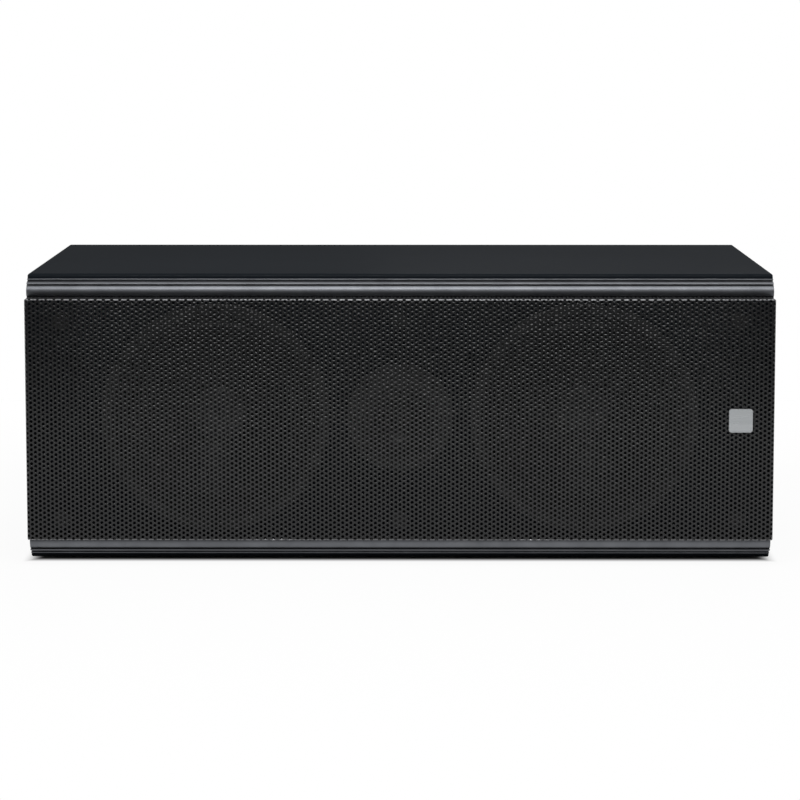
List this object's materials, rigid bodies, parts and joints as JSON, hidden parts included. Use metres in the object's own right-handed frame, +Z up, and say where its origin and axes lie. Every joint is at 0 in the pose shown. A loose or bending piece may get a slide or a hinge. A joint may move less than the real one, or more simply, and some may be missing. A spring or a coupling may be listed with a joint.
{
  "type": "center channel speaker",
  "caption": "Wide low loudspeaker with woofers either side of a waveguide tweeter behind a pull-off perforated metal grille, beaded metal trims and rear binding posts.",
  "frame": {"origin": "on the floor, under the middle of the speaker's bounding box", "axes": "+Z up, +X to the right seen from the front, the grille faces -Y"},
  "size_m": [0.72, 0.38, 0.281],
  "materials": {
    "cabinet_black": "satin black paint on MDF",
    "trim_anodised": "fine-grained dark grey anodised extrusion",
    "grille_black": "satin black powder coat",
    "badge_silver": "brushed, clear anodised",
    "black_rubber": "matte",
    "cast_black": "cast frame, black powder coat",
    "motor_steel": "zinc plated",
    "ferrite": "sintered, matte",
    "cone_black": "satin black cone",
    "cap_black": "satin black dust cap",
    "coil_copper": "enamelled copper",
    "spider_cloth": "phenolic-treated cotton",
    "dome_cloth": "coated black textile",
    "faceplate_black": "satin black moulding",
    "screw_black": "black oxide",
    "wadding": "loose polyester fibre",
    "board_green": "epoxy-glass board",
    "capacitor_film": "wrapped film",
    "nylon": "natural nylon",
    "lead_sleeve": "insulated cable",
    "terminal_black": "moulded, fine texture",
    "post_brass": "gold-plated",
    "cap_red": "moulded",
    "cap_dark": "moulded"
  },
  "bodies": {
    "cabinet": {"black_post": "post_brass", "bottom_front_trim": "trim_anodised", "bottom_panel": "cabinet_black", "capacitors": "capacitor_film", "crossover_board": "board_green", "crossover_standoffs": "nylon", "front_baffle": "cabinet_black", "grille_grommets": "black_rubber", "input_leads": "lead_sleeve", "left_brace": "cabinet_black", "left_damping_pad": "wadding", "left_side_panel": "cabinet_black", "left_woofer_basket": "cast_black", "left_woofer_magnet": "ferrite", "left_woofer_screws": "screw_black", "left_woofer_spider": "spider_cloth", "left_woofer_surround": "black_rubber", "left_woofer_terminals": "terminal_black", "left_woofer_top_plate": "motor_steel", "left_woofer_yoke": "motor_steel", "rear_panel": "cabinet_black", "red_post": "post_brass", "right_brace": "cabinet_black", "right_damping_pad": "wadding", "right_side_panel": "cabinet_black", "right_woofer_basket": "cast_black", "right_woofer_magnet": "ferrite", "right_woofer_screws": "screw_black", "right_woofer_spider": "spider_cloth", "right_woofer_surround": "black_rubber", "right_woofer_terminals": "terminal_black", "right_woofer_top_plate": "motor_steel", "right_woofer_yoke": "motor_steel", "rubber_feet": "black_rubber", "terminal_cup": "terminal_black", "terminal_screws": "screw_black", "top_front_trim": "trim_anodised", "top_panel": "cabinet_black", "tweeter_faceplate": "faceplate_black", "tweeter_inductor": "coil_copper", "tweeter_lead": "lead_sleeve", "tweeter_magnet": "ferrite", "tweeter_screws": "screw_black", "tweeter_surround": "dome_cloth", "tweeter_top_plate": "motor_steel", "tweeter_yoke": "motor_steel", "woofer_inductor": "coil_copper", "woofer_leads": "lead_sleeve"},
    "grille_unit": {"grille": "grille_black", "grille_badge": "badge_silver", "grille_pegs": "screw_black"},
    "left_woofer_cone_unit": {"left_woofer_cone": "cone_black", "left_woofer_voice_coil": "coil_copper", "left_woofer_dust_cap": "cap_black"},
    "right_woofer_cone_unit": {"right_woofer_cone": "cone_black", "right_woofer_voice_coil": "coil_copper", "right_woofer_dust_cap": "cap_black"},
    "tweeter_dome_unit": {"tweeter_dome": "dome_cloth"},
    "red_cap_unit": {"red_post_cap": "cap_red"},
    "black_cap_unit": {"black_post_cap": "cap_dark"}
  },
  "joints": [
    {"name": "grille_pull_off", "type": "slide", "parent": "cabinet", "child": "grille_unit", "axis": [0, -1, 0], "range_m": [0, 0.05]},
    {"name": "left_woofer_excursion", "type": "slide", "parent": "cabinet", "child": "left_woofer_cone_unit", "axis": [0, -1, 0], "range_m": [-0.005, 0.005], "stiffness_N_per_m": 1300, "deforming": ["left_woofer_surround", "left_woofer_spider"]},
    {"name": "right_woofer_excursion", "type": "slide", "parent": "cabinet", "child": "right_woofer_cone_unit", "axis": [0, -1, 0], "range_m": [-0.005, 0.005], "stiffness_N_per_m": 1300, "deforming": ["right_woofer_surround", "right_woofer_spider"]},
    {"name": "tweeter_excursion", "type": "slide", "parent": "cabinet", "child": "tweeter_dome_unit", "axis": [0, -1, 0], "range_m": [-0.0005, 0.0005], "stiffness_N_per_m": 800, "deforming": ["tweeter_surround"]},
    {"name": "red_cap_turn", "type": "hinge", "parent": "cabinet", "child": "red_cap_unit", "pos_m": [0.0095, 0.175, 0.1425], "axis": [0, 1, 0], "range_deg": [0, 1080]},
    {"name": "black_cap_turn", "type": "hinge", "parent": "cabinet", "child": "black_cap_unit", "pos_m": [-0.0095, 0.175, 0.1425], "axis": [0, 1, 0], "range_deg": [0, 1080]}
  ]
}
